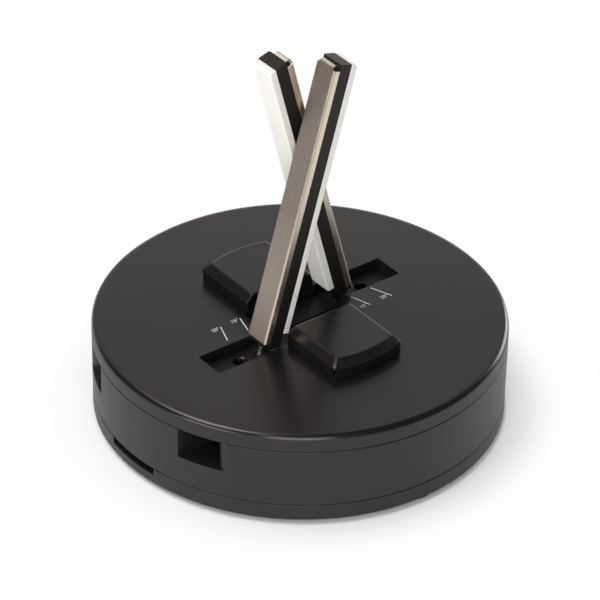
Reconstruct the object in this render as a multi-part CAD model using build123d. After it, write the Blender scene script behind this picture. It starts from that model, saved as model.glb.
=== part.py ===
"""Manual knife sharpener: a round moulded base with two crossed sharpening rods.

Sizes are in millimetres and +Z is up. The origin is on the table under the middle of the base.
+X runs along the rod slots, away from the storage windows, and -Y is the front.
"""

import math
import os

from build123d import *

# Driving sizes
BASE_RADIUS = 70.0
BASE_HEIGHT = 33.9
ROD_WIDTH = 9.3
ROD_DEPTH = 9.8
ROD_REACH = 103.0
ROD_ANGLE = 15.5
WIDE_ANGLE = 20.0

# Base shells
WALL = 2.6
DECK = 2.6
SKIRT = 6.2
PLATE_RIM = 6.3
PLATE_FLOOR = 2.4
DRAFT = 0.2
RIM_ROUND = 1.2
PLATE_BEVEL = 0.8
SEAM_BEVEL = 0.25
LIP = 1.6
LIP_HEIGHT = 1.8
LIP_GAP = 0.15

# Rubber feet
FOOT_STAND = 1.2
FOOT_RADIUS = 6.0
FOOT_SEAT = 1.2
FOOT_INSET = 1.5
FOOT_GAP = 0.1
FOOT_BEVEL = 0.5

# Rods
SHEET = 0.8
SIDE_LIP = 2.6
TOP_LIP = 2.4
BEND_ROUND = 0.7
CORNER_RELIEF = 1.5
CERAMIC = 2.7
CERAMIC_ROUND = 0.7
CERAMIC_TOP_ROUND = 1.6
CORE_CROWN = 0.7
CORE_DROP = 1.4
DIAMOND_RISE = 1.4
CERAMIC_RISE = 4.9

# Foot pins and their holes
PIN_RADIUS = 2.0
PIN_GAP = 0.08
PIN_GRIP = 12.0
PIN_ROOT = 12.0
PIN_BEVEL = 0.5
HOLE_PITCH = 9.2
TUBE_WALL = 1.8

# Slots in the deck, one for each rod
ROD_STANDOFF = 18.6
SLOT_DEPTH = 3.4
SLOT_SIDE_GAP = 1.1
SLOT_SPLIT = 0.1
SLOT_INNER_END = 14.0
SLOT_OUTER_END = 42.2
SOCKET_RIM = 1.8
SOCKET_FLOOR = 2.2
SOCKET_WEB = 1.8
SOCKET_WEB_DROP = 10.0
LUG_LENGTH = 6.4
LUG_WIDTH = 6.8
LUG_THICK = 2.2
LUG_BOSS = 4.0
LUG_BOSS_RADIUS = 2.8

# Blade stops
STOP_HALF_LENGTH = 14.0
STOP_REACH = 39.1
STOP_EDGE_GAP = 0.8
STOP_WALL_HEIGHT = 4.1
STOP_BEVEL = 2.4
STOP_ROUND = 1.4
STOP_SHELL = 2.2
STOP_SEAT = 0.5
STOP_SEAT_GAP = 0.15
STOP_SCREW_X = 8.0
STOP_SCREW_INSET = 4.8

# Storage bays
BAY_GAP = 0.4
BAY_INNER = 21.7
BAY_HEADROOM = 11.2
BAY_WALL = 1.8
BAY_FLOOR = 2.0
BAY_TOP_GAP = 0.2
BAY_RIB = 1.0
BAY_RIB_HEIGHT = 0.6
SCOOP_ROUND = 4.4
SCOOP_LENGTH = 22.0
SCOOP_BACKING = 9.0
SPREADER = 1.8
SPREADER_DEPTH = 6.0

# Thin slot in the rim of the base plate
PRY_WIDTH = 22.6
PRY_HEIGHT = 2.5

# Screws
CASE_SCREW_INSET = 11.0
CASE_SCREW_ANGLE = 63.4
CASE_SCREW_RADIUS = 1.3
CASE_SCREW_LENGTH = 14.0
CASE_HEAD_RADIUS = 2.6
CASE_HEAD_HEIGHT = 1.8
CASE_BOSS_RADIUS = 3.5
CASE_PAD_RADIUS = 4.5
CASE_PAD_HEIGHT = 1.6
SMALL_SCREW_RADIUS = 1.0
SMALL_SCREW_GRIP = 3.6
SMALL_HEAD_RADIUS = 2.1
SMALL_HEAD_HEIGHT = 1.5
SCREW_GAP = 0.2
PILOT_SPARE = 0.3

# Levels, from the table up
plate_bottom = FOOT_STAND
plate_floor = plate_bottom + PLATE_FLOOR
lower_seam = plate_bottom + PLATE_RIM
deck = plate_bottom + BASE_HEIGHT
upper_seam = deck - SKIRT
deck_under = deck - DECK
slot_floor = deck - SLOT_DEPTH
bay_floor = upper_seam - BAY_HEADROOM
case_pad = plate_floor + CASE_PAD_HEIGHT

# Radii of the shells
shell_inside = BASE_RADIUS - WALL
lower_radius = BASE_RADIUS - DRAFT
foot_circle = BASE_RADIUS - FOOT_INSET - FOOT_RADIUS
case_screw_circle = shell_inside - CASE_SCREW_INSET

# Places of the rods, slots, stops and bays
slot_width = ROD_WIDTH + 2 * SLOT_SIDE_GAP
rod_y = SLOT_SPLIT + slot_width / 2
slot_edge = SLOT_SPLIT + slot_width
stop_inner = slot_edge + STOP_EDGE_GAP
stop_screw_y = stop_inner + STOP_SCREW_INSET
bay_outer = BAY_INNER + ROD_WIDTH + 2 * BAY_GAP
bay_end = math.sqrt(shell_inside**2 - (bay_outer + BAY_WALL) ** 2) - BAY_WALL
foot_angles = {"front_foot": -90, "right_foot": 30, "left_foot": 150}

# The pin stands in the middle of the core, which is off the middle of the rod
pin_offset = (SHEET - CERAMIC) / 2
pin_reach = SLOT_DEPTH / math.cos(math.radians(ROD_ANGLE)) + PIN_GRIP
hole_radius = PIN_RADIUS + PIN_GAP
near_hole_x = (
    ROD_STANDOFF
    - pin_offset / math.cos(math.radians(ROD_ANGLE))
    + SLOT_DEPTH * math.tan(math.radians(ROD_ANGLE))
)
wide_hole_x = near_hole_x + HOLE_PITCH
lug_screw_xs = (
    -(SLOT_OUTER_END + SOCKET_RIM + LUG_LENGTH / 2),
    -(SLOT_INNER_END - SOCKET_RIM - LUG_LENGTH / 2),
)

half_turn = Rot(0, 0, 180)
rod_place = Pos(-ROD_STANDOFF, -rod_y, deck) * Rot(0, ROD_ANGLE, 0)


def slab(x0, x1, y0, y1, z0, z1):
    """Return a box between two corners."""
    middle = Pos((x0 + x1) / 2, (y0 + y1) / 2, (z0 + z1) / 2)
    return middle * Box(abs(x1 - x0), abs(y1 - y0), abs(z1 - z0))


def post(x, y, z0, z1, radius):
    """Return an upright cylinder between two levels."""
    return Pos(x, y, (z0 + z1) / 2) * Cylinder(radius, z1 - z0)


def turned(*points):
    """Return the solid that a closed outline of (radius, height) points sweeps about Z."""
    outline = Plane.XZ * make_face(Polyline(*points, close=True))
    return revolve(outline, Axis.Z)


def both_sides(solid):
    """Return a solid together with its mirror image across the XZ plane."""
    return solid + mirror(solid, Plane.XZ)


def is_level(edge, height):
    """Tell whether an edge lies level at a height."""
    box = edge.bounding_box()
    return abs(box.min.Z - height) < 0.01 and abs(box.max.Z - height) < 0.01


def case_screw_places():
    """Return the four places of the case screws."""
    x = case_screw_circle * math.cos(math.radians(CASE_SCREW_ANGLE))
    y = case_screw_circle * math.sin(math.radians(CASE_SCREW_ANGLE))
    return [(sx * x, sy * y) for sx in (-1, 1) for sy in (-1, 1)]


def stop_screw_places():
    """Return the four places of the blade stop screws."""
    return [(sx * STOP_SCREW_X, sy * stop_screw_y) for sx in (-1, 1) for sy in (-1, 1)]


def lug_screw_places():
    """Return the four places of the socket screws, two at each socket."""
    left = [(x, -rod_y) for x in lug_screw_xs]
    return left + [(-x, -y) for x, y in left]


def stop_outline(growth=0.0):
    """Return the plan of the rear blade stop, grown by the given amount all round."""
    side = STOP_HALF_LENGTH + growth
    inner = stop_inner - growth
    reach = STOP_REACH + growth
    corner = math.sqrt(reach**2 - side**2)
    inner_edge = Polyline((-side, corner), (-side, inner), (side, inner), (side, corner))
    outer_edge = ThreePointArc((side, corner), (0, reach), (-side, corner))
    return make_face(inner_edge + outer_edge)


def bay_void():
    """Return the space of the rear bay: the channel, its window and the finger scoop."""
    top = deck
    channel = slab(-2 * BASE_RADIUS, bay_end, BAY_INNER, bay_outer, bay_floor, top)
    # The scoop's arc is tangent to the channel's outer side and to the outer wall
    middle_y = bay_outer + SCOOP_ROUND
    middle_x = -math.sqrt((BASE_RADIUS - SCOOP_ROUND) ** 2 - middle_y**2)
    middle = Vector(middle_x, middle_y)
    outward = middle.normalized()
    on_side = Vector(middle_x, bay_outer)
    on_wall = outward * BASE_RADIUS
    half_way = middle + (outward + Vector(0, -1)).normalized() * SCOOP_ROUND
    beyond = outward * (BASE_RADIUS + WALL)
    arc = ThreePointArc(on_side, half_way, on_wall)
    rest = Polyline(on_wall, beyond, (-2 * BASE_RADIUS, beyond.Y), (-2 * BASE_RADIUS, bay_outer), on_side)
    scoop = Pos(0, 0, bay_floor) * extrude(make_face(arc + rest), top - bay_floor)
    return channel + scoop


def make_top_cover():
    """Return the deck with its skirt, slots, stop seats and bosses."""
    cover = turned(
        (0, deck),
        (BASE_RADIUS, deck),
        (BASE_RADIUS, upper_seam + SEAM_BEVEL),
        (BASE_RADIUS - SEAM_BEVEL, upper_seam),
        (shell_inside, upper_seam),
        (shell_inside, deck_under),
        (0, deck_under),
    )
    rim = cover.edges().filter_by(GeomType.CIRCLE).group_by(Axis.Z)[-1]
    cover = fillet(rim, RIM_ROUND)

    slot = slab(-SLOT_OUTER_END, -SLOT_INNER_END, -slot_edge, -SLOT_SPLIT, deck_under, deck)
    cover -= [slot, half_turn * slot]
    seat = Pos(0, 0, deck - STOP_SEAT) * extrude(stop_outline(STOP_SEAT_GAP), STOP_SEAT)
    cover -= [seat, half_turn * seat]
    for x, y in stop_screw_places():
        cover -= post(x, y, deck_under, deck, SMALL_SCREW_RADIUS + SCREW_GAP)

    for x, y in case_screw_places():
        cover += post(x, y, case_pad, deck_under, CASE_BOSS_RADIUS)
        cover -= post(x, y, case_pad, case_pad + CASE_SCREW_LENGTH + PILOT_SPARE, CASE_SCREW_RADIUS)
    for x, y in lug_screw_places():
        cover += post(x, y, deck_under - LUG_BOSS, deck_under, LUG_BOSS_RADIUS)
        cover -= post(x, y, deck_under - LUG_BOSS, deck_under, SMALL_SCREW_RADIUS)
    return cover


def make_body_shell():
    """Return the middle wall with both storage bays and the ribs that join them."""
    lip_outside = shell_inside - LIP_GAP
    ring = turned(
        (shell_inside, lower_seam),
        (lower_radius - SEAM_BEVEL, lower_seam),
        (lower_radius, lower_seam + SEAM_BEVEL),
        (BASE_RADIUS, upper_seam - SEAM_BEVEL),
        (BASE_RADIUS - SEAM_BEVEL, upper_seam),
        (lip_outside, upper_seam),
        (lip_outside, upper_seam + LIP_HEIGHT),
        (lip_outside - LIP, upper_seam + LIP_HEIGHT),
        (lip_outside - LIP, upper_seam - LIP_HEIGHT),
        (shell_inside, upper_seam - 2 * LIP_HEIGHT),
    )

    bay_y0 = BAY_INNER - BAY_WALL
    bay_y1 = bay_outer + BAY_WALL
    bay_bottom = bay_floor - BAY_FLOOR
    bay_top = deck_under - BAY_TOP_GAP
    trough = slab(-BASE_RADIUS, bay_end + BAY_WALL, bay_y0, bay_y1, bay_bottom, bay_top)
    backing = slab(
        -BASE_RADIUS,
        SCOOP_LENGTH - BASE_RADIUS,
        bay_outer,
        bay_outer + SCOOP_BACKING,
        bay_bottom,
        upper_seam,
    )
    # The troughs end inside the wall, and above the seam inside the lip
    within_wall = post(0, 0, 0, upper_seam, shell_inside + WALL / 2)
    within_lip = post(0, 0, upper_seam, deck, lip_outside)
    bays = both_sides((trough + backing) & (within_wall + within_lip))

    spreader = slab(
        -SPREADER / 2,
        SPREADER / 2,
        -shell_inside,
        shell_inside,
        bay_floor - SPREADER_DEPTH,
        bay_floor,
    )
    void = bay_void()
    rib_length = (-BASE_RADIUS + SCOOP_LENGTH, bay_end)
    ribs = [
        slab(*rib_length, y - BAY_RIB / 2, y + BAY_RIB / 2, bay_floor, bay_floor + BAY_RIB_HEIGHT)
        for y in (BAY_INNER + 2 * BAY_RIB, bay_outer - 2 * BAY_RIB)
    ]
    shell = ring + bays + spreader
    shell -= [void, mirror(void, Plane.XZ)]
    for rib in ribs:
        shell += both_sides(rib)
    return shell


def make_base_plate():
    """Return the lowest ring with its floor, spigot, pry slot and screw pads."""
    spigot_outside = shell_inside - LIP_GAP
    spigot_inside = spigot_outside - LIP
    plate = turned(
        (0, plate_bottom),
        (lower_radius - PLATE_BEVEL, plate_bottom),
        (lower_radius, plate_bottom + PLATE_BEVEL),
        (lower_radius, lower_seam - SEAM_BEVEL),
        (lower_radius - SEAM_BEVEL, lower_seam),
        (spigot_outside, lower_seam),
        (spigot_outside, lower_seam + LIP_HEIGHT),
        (spigot_inside, lower_seam + LIP_HEIGHT),
        (spigot_inside, plate_floor),
        (0, plate_floor),
    )
    plate -= slab(
        -BASE_RADIUS,
        -spigot_inside + LIP,
        -PRY_WIDTH / 2,
        PRY_WIDTH / 2,
        lower_seam - PRY_HEIGHT,
        lower_seam,
    )
    for x, y in case_screw_places():
        plate += post(x, y, plate_floor, case_pad, CASE_PAD_RADIUS)
        plate -= post(x, y, plate_bottom, case_pad, CASE_SCREW_RADIUS + SCREW_GAP)
        head_top = plate_bottom + CASE_HEAD_HEIGHT + SCREW_GAP
        plate -= post(x, y, plate_bottom, head_top, CASE_HEAD_RADIUS + SCREW_GAP)
    for angle in foot_angles.values():
        x, y = foot_place(angle)
        plate -= post(x, y, plate_bottom, plate_bottom + FOOT_SEAT, FOOT_RADIUS + FOOT_GAP)
    return plate


def foot_place(angle):
    """Return the place of a rubber foot on the foot circle."""
    return foot_circle * math.cos(math.radians(angle)), foot_circle * math.sin(math.radians(angle))


def make_foot(angle):
    """Return one rubber foot in its seat."""
    foot = post(*foot_place(angle), 0, plate_bottom + FOOT_SEAT, FOOT_RADIUS)
    return chamfer(foot.edges().group_by(Axis.Z)[0], FOOT_BEVEL)


def make_rear_stop():
    """Return the rear blade stop: a hollow block, bevelled on its three outer sides."""
    bottom = deck - STOP_SEAT
    height = STOP_SEAT + STOP_WALL_HEIGHT + STOP_BEVEL
    stop = extrude(stop_outline(), height)
    top_edges = stop.faces().sort_by(Axis.Z)[-1].edges()
    stop = chamfer(top_edges.sort_by(Axis.Y)[1:], STOP_BEVEL)
    # The corners between the sides and the outer arc run up through the bevel
    rising = [edge for edge in stop.edges() if edge.bounding_box().size.Z > STOP_BEVEL / 2]
    corners = [edge for edge in rising if edge.center().Y > stop_inner + STOP_ROUND]
    stop = fillet(corners, STOP_ROUND)

    hollow_height = height - STOP_SHELL
    hollow = extrude(stop_outline(-STOP_SHELL), hollow_height - STOP_BEVEL)
    for sx in (-1, 1):
        x = sx * STOP_SCREW_X
        hollow -= post(x, stop_screw_y, 0, hollow_height, SMALL_SCREW_RADIUS + TUBE_WALL)
    stop -= hollow
    for sx in (-1, 1):
        grip = STOP_SEAT + SMALL_SCREW_GRIP + PILOT_SPARE
        stop -= post(sx * STOP_SCREW_X, stop_screw_y, 0, grip, SMALL_SCREW_RADIUS)
    return Pos(0, 0, bottom) * stop


def make_left_socket():
    """Return the left socket: a slot floor with an angled tube at each setting."""
    rim_y0 = -slot_edge - SOCKET_RIM
    rim_y1 = -SLOT_SPLIT + SOCKET_RIM
    outer_end = -SLOT_OUTER_END - SOCKET_RIM
    inner_end = -SLOT_INNER_END + SOCKET_RIM
    socket = slab(outer_end, inner_end, rim_y0, rim_y1, slot_floor - SOCKET_FLOOR, deck_under)

    lug_top = deck_under - LUG_BOSS
    lug_bottom = lug_top - LUG_THICK
    lug_y0 = -rod_y - LUG_WIDTH / 2
    lug_y1 = -rod_y + LUG_WIDTH / 2
    for end, outward in ((outer_end, -1), (inner_end, 1)):
        inward = end - outward * LUG_THICK
        socket += slab(inward, end, lug_y0, lug_y1, lug_bottom, deck_under)
        socket += slab(inward, end + outward * LUG_LENGTH, lug_y0, lug_y1, lug_bottom, lug_top)

    socket += slab(
        -wide_hole_x - hole_radius,
        -near_hole_x,
        -rod_y - SOCKET_WEB / 2,
        -rod_y + SOCKET_WEB / 2,
        slot_floor - SOCKET_WEB_DROP,
        slot_floor - SOCKET_FLOOR / 2,
    )
    tube_radius = hole_radius + TUBE_WALL
    holes = []
    for x, angle in ((near_hole_x, ROD_ANGLE), (wide_hole_x, WIDE_ANGLE)):
        place = Pos(-x, -rod_y, slot_floor) * Rot(0, angle, 0)
        tube_top = -tube_radius * math.tan(math.radians(angle)) - PIN_GAP
        socket += place * post(0, 0, -PIN_GRIP - TUBE_WALL, tube_top, tube_radius)
        holes.append(place * post(0, 0, -PIN_GRIP, SLOT_DEPTH, hole_radius))

    slot = slab(-SLOT_OUTER_END, -SLOT_INNER_END, -slot_edge, -SLOT_SPLIT, slot_floor, deck)
    socket -= [slot, *holes]
    for x in lug_screw_xs:
        socket -= post(x, -rod_y, lug_bottom, lug_top, SMALL_SCREW_RADIUS + SCREW_GAP)
    return socket


# Each rod is drawn upright about its axis, from the deck up, with the diamond side at -X


def make_core():
    """Return the plastic bar, stepped for the folded plate and drilled for the pin."""
    outer = -ROD_DEPTH / 2 + SHEET
    inner = ROD_DEPTH / 2 - CERAMIC
    half = ROD_WIDTH / 2
    core = slab(outer, inner, -half, half, -CORE_DROP, ROD_REACH)
    lip_end = -ROD_DEPTH / 2 + SIDE_LIP
    for side in (-1, 1):
        core -= slab(outer, lip_end, side * (half - SHEET), side * half, -CORE_DROP, ROD_REACH)
    plate_top = ROD_REACH - CORE_CROWN
    core -= slab(outer, -ROD_DEPTH / 2 + TOP_LIP, -half, half, plate_top - SHEET, ROD_REACH)
    core -= post(pin_offset, 0, -CORE_DROP, PIN_ROOT, PIN_RADIUS)
    return core


def make_diamond_plate():
    """Return the steel tray: a face folded over the core's two sides and its top."""
    face = -ROD_DEPTH / 2
    half = ROD_WIDTH / 2
    top = ROD_REACH - CORE_CROWN
    plate = slab(face, face + SIDE_LIP, -half, half, DIAMOND_RISE, top)
    outer_face = plate.faces().sort_by(Axis.X)[0]
    bends = outer_face.edges().sort_by(Axis.Z)[1:]
    plate = fillet(bends, BEND_ROUND)

    plate -= slab(face + SHEET, face + SIDE_LIP, SHEET - half, half - SHEET, DIAMOND_RISE, top - SHEET)
    plate -= slab(face + TOP_LIP, face + SIDE_LIP, -half, half, top - CORNER_RELIEF, top)
    for side in (-1, 1):
        corner_y = side * half
        relief_y = side * (half - CORNER_RELIEF)
        # The fold leaves each top corner open, and a round relief ends the cut in the face
        plate -= slab(face + SHEET, face + SIDE_LIP, relief_y, corner_y, top - CORNER_RELIEF, top)
        plate -= Pos(face, corner_y, top) * Rot(0, 90, 0) * Cylinder(CORNER_RELIEF, 2 * SHEET)
    return plate


def make_ceramic_plate():
    """Return the ceramic slab: its face rolls over at the top and is softly rounded elsewhere."""
    half = ROD_WIDTH / 2
    face = ROD_DEPTH / 2
    top = ROD_REACH - CORE_CROWN / 2
    plate = slab(face - CERAMIC, face, -half, half, CERAMIC_RISE, top)
    top_edge = plate.faces().sort_by(Axis.X)[-1].edges().sort_by(Axis.Z)[-1]
    plate = fillet(top_edge, CERAMIC_TOP_ROUND)
    front_edges = plate.edges().filter_by(lambda edge: edge.center().X > face - CERAMIC_TOP_ROUND / 2)
    across_top = top - CERAMIC_TOP_ROUND
    return fillet([edge for edge in front_edges if not is_level(edge, across_top)], CERAMIC_ROUND)


def make_foot_pin():
    """Return the round steel pin, from its tip in the hole to its root in the core."""
    pin = post(pin_offset, 0, -pin_reach, PIN_ROOT, PIN_RADIUS)
    return chamfer(pin.edges().group_by(Axis.Z)[0], PIN_BEVEL)


def screw(x, y, head_bottom, head_height, head_radius, tip, radius):
    """Return one screw that stands head down."""
    head_top = head_bottom + head_height
    return post(x, y, head_bottom, head_top, head_radius) + post(x, y, head_top, tip, radius)


def make_case_screws():
    """Return the four screws that clamp base plate, body and cover."""
    head_bottom = plate_bottom + SCREW_GAP
    tip = case_pad + CASE_SCREW_LENGTH
    return [
        screw(x, y, head_bottom, CASE_HEAD_HEIGHT, CASE_HEAD_RADIUS, tip, CASE_SCREW_RADIUS)
        for x, y in case_screw_places()
    ]


def make_stop_screws():
    """Return the four screws that hold the blade stops from under the deck."""
    head_bottom = deck_under - SMALL_HEAD_HEIGHT
    tip = deck + SMALL_SCREW_GRIP
    return [
        screw(x, y, head_bottom, SMALL_HEAD_HEIGHT, SMALL_HEAD_RADIUS, tip, SMALL_SCREW_RADIUS)
        for x, y in stop_screw_places()
    ]


def make_socket_screws():
    """Return the four screws that hang the sockets from the deck's bosses."""
    head_bottom = deck_under - LUG_BOSS - LUG_THICK - SMALL_HEAD_HEIGHT
    tip = deck_under - PILOT_SPARE
    return [
        screw(x, y, head_bottom, SMALL_HEAD_HEIGHT, SMALL_HEAD_RADIUS, tip, SMALL_SCREW_RADIUS)
        for x, y in lug_screw_places()
    ]


def save(name, shape):
    """Write one node, or a group of separate solids, to its STEP file."""
    if isinstance(shape, list):
        shape = Compound(children=shape)
    shape.label = name
    export_step(shape, f"parts/{name}.step")


def main():
    """Build every piece and write it to the parts folder."""
    os.makedirs("parts", exist_ok=True)
    save("top_cover", make_top_cover())
    save("body_shell", make_body_shell())
    save("base_plate", make_base_plate())
    for name, angle in foot_angles.items():
        save(name, make_foot(angle))

    rear_stop = make_rear_stop()
    save("rear_blade_stop", rear_stop)
    save("front_blade_stop", half_turn * rear_stop)
    left_socket = make_left_socket()
    save("left_rod_socket", left_socket)
    save("right_rod_socket", half_turn * left_socket)

    rod_pieces = {
        "rod_core": make_core(),
        "diamond_plate": make_diamond_plate(),
        "ceramic_plate": make_ceramic_plate(),
        "foot_pin": make_foot_pin(),
    }
    for name, piece in rod_pieces.items():
        front_piece = rod_place * piece
        save(f"front_{name}", front_piece)
        save(f"rear_{name}", half_turn * front_piece)

    save("case_screws", make_case_screws())
    save("blade_stop_screws", make_stop_screws())
    save("socket_screws", make_socket_screws())


if __name__ == "__main__":
    main()
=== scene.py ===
"""Manual knife sharpener: the looks of its pieces, a plain studio and the photo's camera.

Lengths are in metres. +X runs along the rod slots, -Y is the front and +Z is up.
"""

import math

import bpy
from mathutils import Matrix, Vector


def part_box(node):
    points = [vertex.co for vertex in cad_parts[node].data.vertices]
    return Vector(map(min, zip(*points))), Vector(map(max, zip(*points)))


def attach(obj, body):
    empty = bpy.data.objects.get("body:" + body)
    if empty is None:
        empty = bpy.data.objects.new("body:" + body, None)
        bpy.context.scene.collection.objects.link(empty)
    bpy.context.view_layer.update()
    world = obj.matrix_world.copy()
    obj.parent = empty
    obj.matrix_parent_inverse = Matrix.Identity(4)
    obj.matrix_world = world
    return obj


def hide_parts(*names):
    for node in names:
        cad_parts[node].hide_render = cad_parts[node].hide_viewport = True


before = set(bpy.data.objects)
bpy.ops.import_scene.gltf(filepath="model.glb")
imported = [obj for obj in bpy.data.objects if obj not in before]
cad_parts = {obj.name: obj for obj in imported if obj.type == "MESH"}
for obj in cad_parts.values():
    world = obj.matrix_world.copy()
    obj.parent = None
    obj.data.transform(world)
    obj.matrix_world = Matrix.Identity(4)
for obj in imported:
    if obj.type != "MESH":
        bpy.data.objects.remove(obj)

bl_info = {
    "name": "Knife sharpener dresser",
    "version": (1, 0, 0),
    "blender": (4, 5, 0),
    "location": "View3D > Sidebar > Sharpener",
    "description": "Dresses the pieces of a crossed-rod knife sharpener and lights them",
    "category": "Object",
}

UP = Vector((0, 0, 1))
# Distance below which two points count as one
MERGE = 1e-6
# Upright part of a normal from which a face counts as level
LEVEL = 0.999

# The photo's camera: its view, the same along the floor, and its place,
# then its roll in degrees, and its lens and sensor in mm
VIEW = Vector((0.50860, 0.65318, -0.56096)).normalized()
AWAY = Vector((VIEW.x, VIEW.y, 0)).normalized()
CAMERA_PLACE = (-0.69745, -0.89536, 0.81004)
CAMERA_ROLL = -1.1
CAMERA_LENS = 246
CAMERA_SENSOR = 36

# The soft lights: name, turn from straight behind the part to the left, rise above the floor, and watts
LIGHTS = (
    ("left_key", 102, 65, 4.2),
    ("back_left_key", 45, 65, 1.4),
    ("back_right_fill", -45, 15, 4.0),
    ("front_left_fill", 135, 15, 2.8),
    ("front_low_fill", 180, 15, 3.0),
    ("front_fill", 180, 40, 2.2),
    ("back_fill", 0, 15, 0.8),
)
LIGHT_SIZE = 0.5
ROOM_LIGHT = 0.1

# The studio's papers, and the share of pure white that the camera sees on them
FLOOR_SIZE = 6
FLOOR_LIFT_NEAR = 0.4
FLOOR_LIFT_FAR = 0.94
BACKDROP_HEIGHT = 3
BACKDROP_DISTANCE = 2.2
BACKDROP_SHADE = 0.5
BACKDROP_LIFT = 0.47
# Width of the band around the base in which the floor shows its shadow
SHADOW_REACH = 0.018
# Width of the soft edge of the dark gap under the base
GAP_EDGE = 0.0009

# Heights between which the painted reflection on the diamond grit fades, full below the first and gone
# above the second
GRIT_REFLECTION_FULL = 0.04
GRIT_REFLECTION_GONE = 0.085
# Width of the streaks of wear on the grit, and the scale along the height that draws them out
STREAK_WIDTH = 0.0008
STREAK_SCALE = 0.06
# Cross recesses of the case screws, as shares of their heads' radius
RECESS_REACH = 0.6
RECESS_WIDTH = 0.14
RECESS_DEPTH = 0.45
# Height of a font's digits as a share of its size
DIGIT_SHARE = 0.7


# Settings


def linear(code):
    """Return the linear colour of an sRGB hex code such as #1c1b1b."""
    levels = [int(code[i : i + 2], 16) / 255 for i in (1, 3, 5)]
    return tuple(v / 12.92 if v <= 0.04045 else ((v + 0.055) / 1.055) ** 2.4 for v in levels)


def length(name, description, default):
    """Return a length setting in metres."""
    return bpy.props.FloatProperty(
        name=name,
        description=description,
        default=default,
        precision=5,
        subtype="DISTANCE",
        unit="LENGTH",
    )


def colour(name, description, code):
    """Return a colour setting with a default from an sRGB hex code."""
    return bpy.props.FloatVectorProperty(
        name=name,
        description=description,
        default=linear(code),
        size=3,
        min=0,
        max=1,
        subtype="COLOR",
    )


class SharpenerSizes(bpy.types.PropertyGroup):
    """Sizes of the pieces that are modelled here, and of the rounding on the others."""

    moulding_round: length("Moulding round", "Rounding of the sharp edges of the mouldings", 0.0002)
    stop_round: length("Stop round", "Rounding of the edges of the blade stops", 0.0004)
    fine_round: length("Fine round", "Rounding of the sharp edges of the rods' pieces", 0.00012)

    skirt: length("Skirt", "Height of the cover from its seam to the deck", 0.0062)
    wall: length("Wall", "Thickness of the cover's skirt and deck", 0.0026)
    rim_round: length("Rim round", "Radius of the cover's outer edge", 0.0019)
    seam_bevel: length("Seam bevel", "Bevel of the edges at the seams", 0.00025)
    slot_inner: length("Slot inner end", "Distance of the slots' inner ends from the middle", 0.014)
    slot_outer: length("Slot outer end", "Distance of the slots' outer ends from the middle", 0.0422)
    slot_split: length("Slot split", "Distance of the slots' shared side from the middle", 0.0001)
    slot_edge: length("Slot edge", "Distance of the slots' free sides from the middle", 0.0116)
    slot_depth: length("Slot depth", "Depth of the slots' floors below the deck", 0.0034)
    well_half: length("Well half length", "Half the length of the sunken middle between the stops", 0.0149)
    well_split: length("Well split", "Gap between the two halves of the sunken floor", 0.001)
    socket_floor: length("Socket floor", "Thickness of the slots' floors", 0.0022)
    socket_rim: length("Socket rim", "Width of the sockets' rims under the deck", 0.0018)
    hole_pitch: length("Hole pitch", "Distance between the two holes of a socket", 0.0092)
    countersink: length("Countersink", "Depth of the bevel around the sockets' holes", 0.0006)

    stop_half: length("Stop half length", "Half the length of a blade stop", 0.014)
    stop_inner: length("Stop inner side", "Distance of a blade stop's inner side from the middle", 0.0112)
    stop_reach: length("Stop reach", "Radius of a blade stop's outer side", 0.0391)
    stop_seat: length("Stop seat", "Depth of the stops' seats in the deck", 0.0005)
    stop_gap: length("Stop gap", "Gap around a stop in its seat", 0.00015)
    stop_height: length("Stop height", "Height of a stop above the deck", 0.0065)
    stop_bevel: length("Stop bevel", "Bevel of a stop's outer top edges", 0.0024)
    stop_corner: length("Stop corner", "Rounding of a stop's upright corners", 0.0014)
    stop_lip: length("Stop lip", "Rounding of a stop's inner top edge", 0.0009)

    rod_width: length("Rod width", "Width of a rod across its plates", 0.0093)
    rod_depth: length("Rod depth", "Depth of a rod from plate to plate", 0.0098)
    rod_reach: length("Rod reach", "Length of a rod from the deck to its top", 0.103)
    rod_standoff: length("Rod standoff", "Distance of a rod's foot from the middle", 0.0186)
    rod_side: length("Rod side", "Distance of a rod's middle plane from the slots' shared side", 0.00585)
    rod_lean: bpy.props.FloatProperty(
        name="Rod lean",
        description="Lean of a rod from upright",
        default=math.radians(15.5),
        subtype="ANGLE",
        unit="ROTATION",
    )
    sheet: length("Sheet", "Thickness of the folded steel plates", 0.0008)
    side_lip: length("Side lip", "Depth of the plates' folded sides", 0.0026)
    top_lip: length("Top lip", "Depth of the plates' folded tops", 0.0024)
    bend_round: length("Bend round", "Outer radius of the plates' bends", 0.0007)
    relief: length("Corner relief", "Radius of the cuts at the plates' top corners", 0.0015)
    ceramic: length("Ceramic", "Thickness of the ceramic plates", 0.0027)
    ceramic_round: length("Ceramic round", "Rounding of the ceramic plates' face edges", 0.0007)
    ceramic_top: length("Ceramic top", "Rounding of the ceramic plates' top edges", 0.0012)
    core_crown: length("Core crown", "Height of a core above its steel plate", 0.0007)
    core_drop: length("Core drop", "Depth of a core's foot below the deck", 0.0004)
    diamond_rise: length("Diamond rise", "Height of the steel plates' lower edges", 0.0014)
    ceramic_rise: length("Ceramic rise", "Height of the ceramic plates' lower edges", 0.0049)
    pin_radius: length("Pin radius", "Radius of the foot pins", 0.002)
    pin_root: length("Pin root", "Height of a pin's root in its core", 0.012)
    pin_reach: length("Pin reach", "Depth of a pin's tip below the deck", 0.01553)

    mark_width: length("Mark width", "Width of the printed angle lines", 0.00035)
    mark_height: length("Mark height", "Height of the printed numbers", 0.0016)
    ink: length("Ink", "Thickness of the printed ink", 0.00004)


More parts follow.
